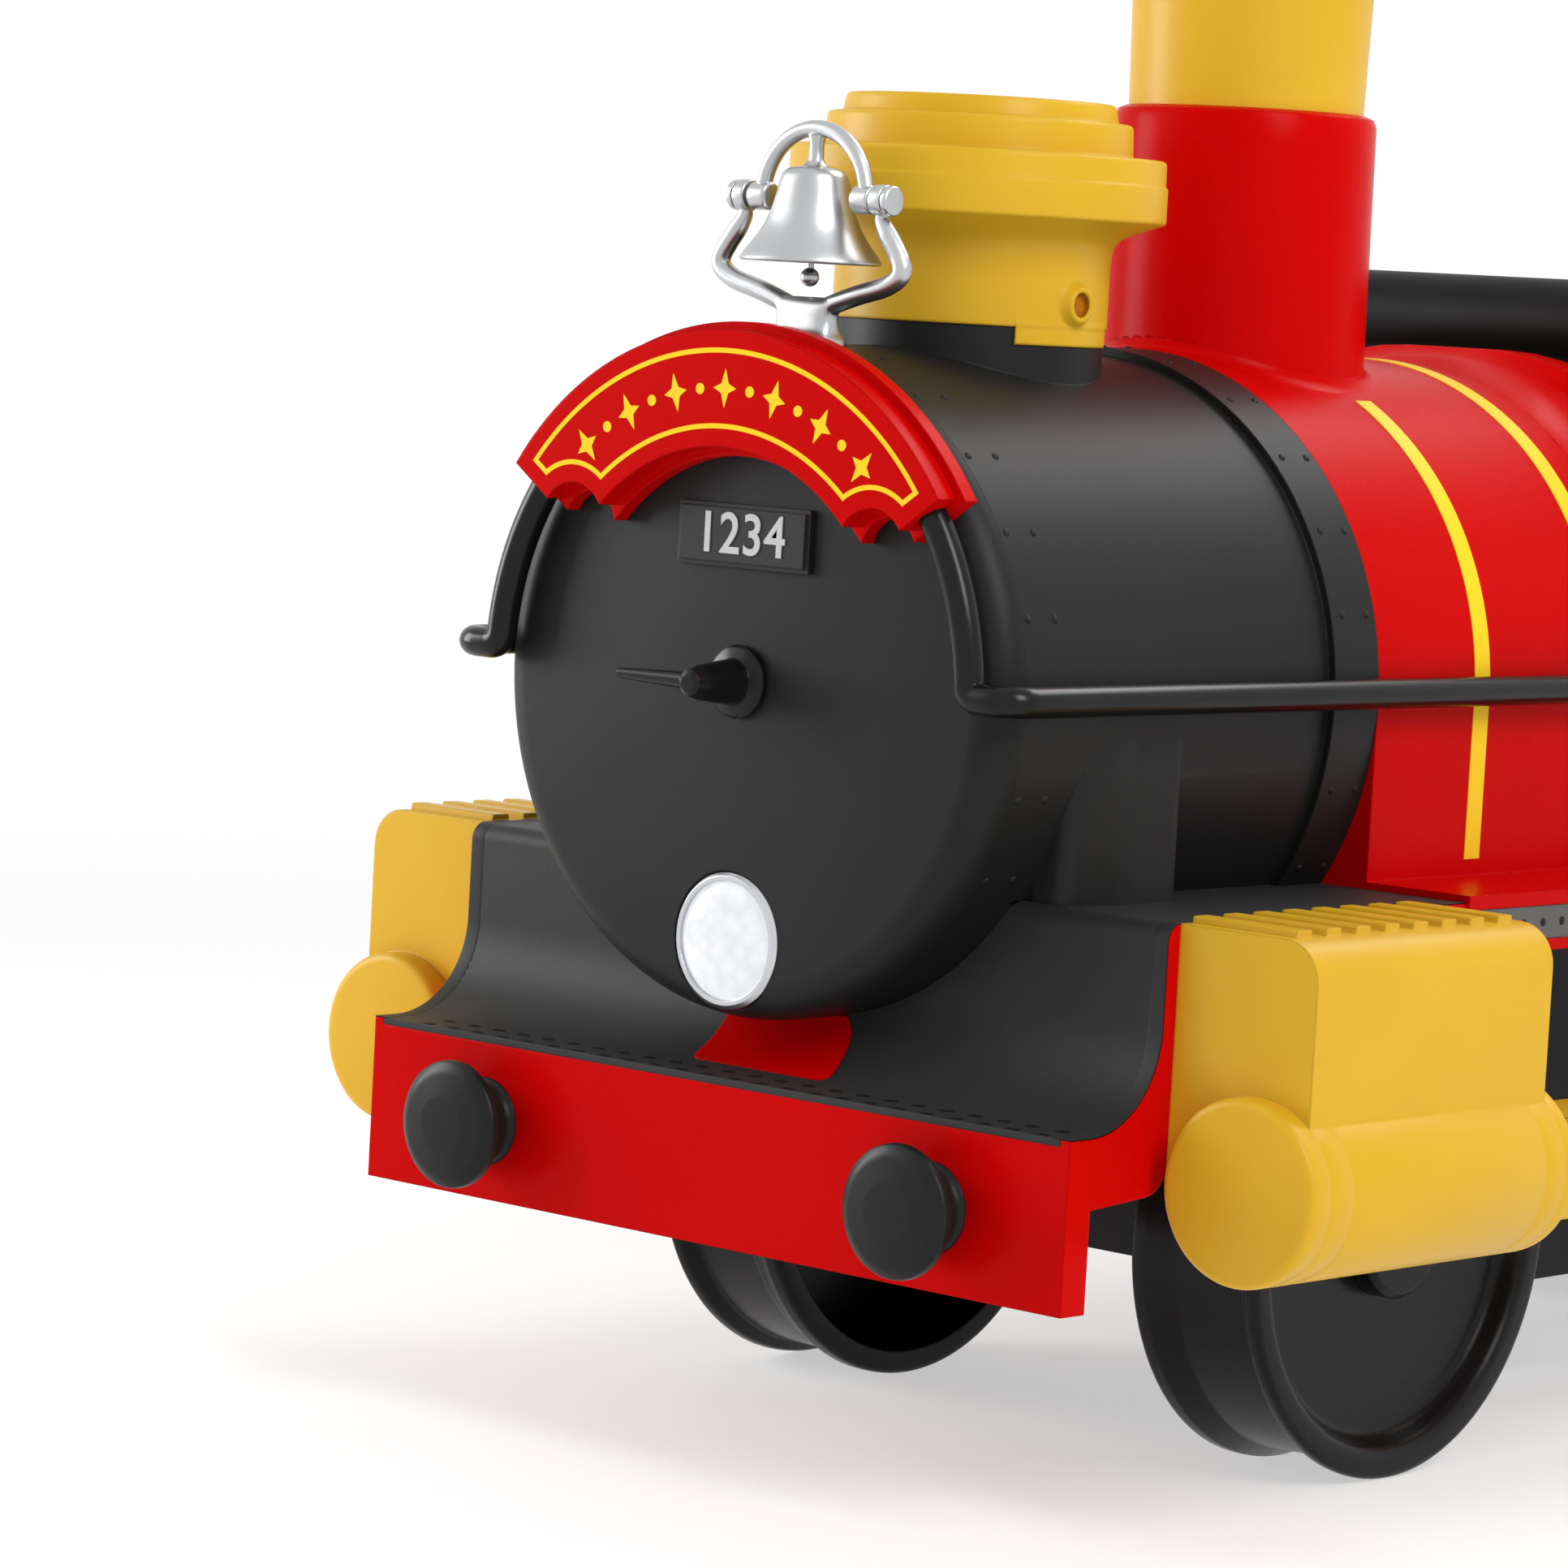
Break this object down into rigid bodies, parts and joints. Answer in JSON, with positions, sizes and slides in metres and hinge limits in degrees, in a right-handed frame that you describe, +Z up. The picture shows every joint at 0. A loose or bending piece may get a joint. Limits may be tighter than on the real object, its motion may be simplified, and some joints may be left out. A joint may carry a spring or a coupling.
{
  "type": "ride on train",
  "caption": "Battery ride-on steam train with a black smokebox, red boiler and seat, yellow dome, chimney and cylinders, a swinging bell, geared rear drive and a button console.",
  "frame": {"origin": "On the floor under the middle of the train's length and width.", "axes": "+Z up, the front of the train faces -Y, +X is the train's own left side."},
  "size_m": [0.459, 0.846, 0.56],
  "materials": {
    "red_shell": "glossy moulded red",
    "yellow_shell": "satin moulded yellow",
    "black_shell": "satin black moulding with a fine grain",
    "grey_plate": "grained dark grey moulding",
    "strip": "satin light grey strip",
    "bright": "silvered moulding",
    "lens": "clear moulded lens",
    "reflector": "vacuum plated reflector",
    "led": "white lamp on its board",
    "steel": "drawn steel",
    "nylon": "natural nylon",
    "wheel": "hard black wheel moulding",
    "cell": "sealed battery case",
    "seat": "grained black seat moulding",
    "grip": "ribbed soft sleeve",
    "green": "glossy green cap",
    "white": "light grey rocker",
    "board": "green circuit board"
  },
  "bodies": {
    "train": {"chassis_frame": "red_shell", "front_footplate": "grey_plate", "under_frame": "black_shell", "valance_strips": "strip", "smokebox": "black_shell", "smokebox_door": "black_shell", "door_dart": "black_shell", "number_plate": "grey_plate", "name_board": "red_shell", "headlamp_bezel": "bright", "headlamp_lens": "lens", "headlamp_reflector": "reflector", "headlamp_led": "led", "bell_bracket": "bright", "steam_dome": "yellow_shell", "dome_screws": "steel", "boiler_shell": "red_shell", "chimney_stack": "yellow_shell", "handrail_left": "black_shell", "handrail_right": "black_shell", "buffer_left": "grey_plate", "buffer_right": "grey_plate", "cylinder_left": "yellow_shell", "cylinder_right": "yellow_shell", "footrest_left": "yellow_shell", "footrest_right": "yellow_shell", "front_axle": "steel", "axle_bushes": "nylon", "front_hub_caps": "black_shell", "idler_pin": "steel", "motor": "steel", "gearbox_case": "grey_plate", "gearbox_cover": "grey_plate", "battery": "cell", "battery_clamp": "steel", "rear_body": "red_shell", "seat": "seat", "backrest": "seat", "handlebar": "black_shell", "handlebar_grip": "grip", "console": "black_shell", "control_board": "board", "speaker": "black_shell", "frame_screws": "steel"},
    "left_front_wheel": {"front_wheel_left": "wheel"},
    "right_front_wheel": {"front_wheel_right": "wheel"},
    "rear_wheelset": {"rear_axle": "steel", "rear_wheel_left": "wheel", "rear_wheel_right": "wheel", "rear_hub_caps": "black_shell", "drive_gear": "nylon"},
    "idler": {"idler_gear": "nylon"},
    "motor_rotor": {"motor_pinion": "steel"},
    "bell_swing_body": {"bell": "bright"},
    "clapper": {"bell_clapper": "bright"},
    "go_cap": {"go_button": "green"},
    "whistle_cap": {"whistle_button": "yellow_shell"},
    "bell_cap": {"bell_button": "red_shell"},
    "direction_rocker": {"direction_switch": "white"}
  },
  "joints": [
    {"name": "front_wheel_left_spin", "type": "hinge", "parent": "train", "child": "left_front_wheel", "pos_m": [0.1125, -0.187, 0.085], "axis": [1, 0, 0], "continuous": true},
    {"name": "front_wheel_right_spin", "type": "hinge", "parent": "train", "child": "right_front_wheel", "pos_m": [-0.1125, -0.187, 0.085], "axis": [1, 0, 0], "continuous": true},
    {"name": "rear_axle_spin", "type": "hinge", "parent": "train", "child": "rear_wheelset", "pos_m": [0, 0.209, 0.085], "axis": [1, 0, 0], "continuous": true},
    {"name": "idler_spin", "type": "hinge", "parent": "train", "child": "idler", "pos_m": [0.013, 0.245, 0.085], "axis": [1, 0, 0], "continuous": true},
    {"name": "motor_spin", "type": "hinge", "parent": "train", "child": "motor_rotor", "pos_m": [0, 0.275, 0.085], "axis": [1, 0, 0], "continuous": true},
    {"name": "bell_swing", "type": "hinge", "parent": "train", "child": "bell_swing_body", "pos_m": [0, -0.37, 0.4357], "axis": [1, 0, 0], "range_deg": [-18, 18]},
    {"name": "clapper_swing", "type": "hinge", "parent": "bell_swing_body", "child": "clapper", "pos_m": [0, -0.37, 0.4407], "axis": [1, 0, 0], "range_deg": [-32, 32]},
    {"name": "go_press", "type": "slide", "parent": "train", "child": "go_cap", "axis": [0, -0.342, -0.9397], "range_m": [0, 0.0025], "stiffness_N_per_m": 400, "springref_m": -0.001},
    {"name": "whistle_press", "type": "slide", "parent": "train", "child": "whistle_cap", "axis": [0, -0.342, -0.9397], "range_m": [0, 0.0025], "stiffness_N_per_m": 400, "springref_m": -0.001},
    {"name": "bell_press", "type": "slide", "parent": "train", "child": "bell_cap", "axis": [0, -0.342, -0.9397], "range_m": [0, 0.0025], "stiffness_N_per_m": 400, "springref_m": -0.001},
    {"name": "direction_rock", "type": "hinge", "parent": "train", "child": "direction_rocker", "pos_m": [0.068, 0.03823, 0.34086], "axis": [1, 0, 0], "range_deg": [-10, 10]}
  ],
  "couplings": [
    {"joint": "idler_spin", "follows": "rear_axle_spin", "ratio": -5},
    {"joint": "motor_spin", "follows": "rear_axle_spin", "ratio": 20}
  ]
}
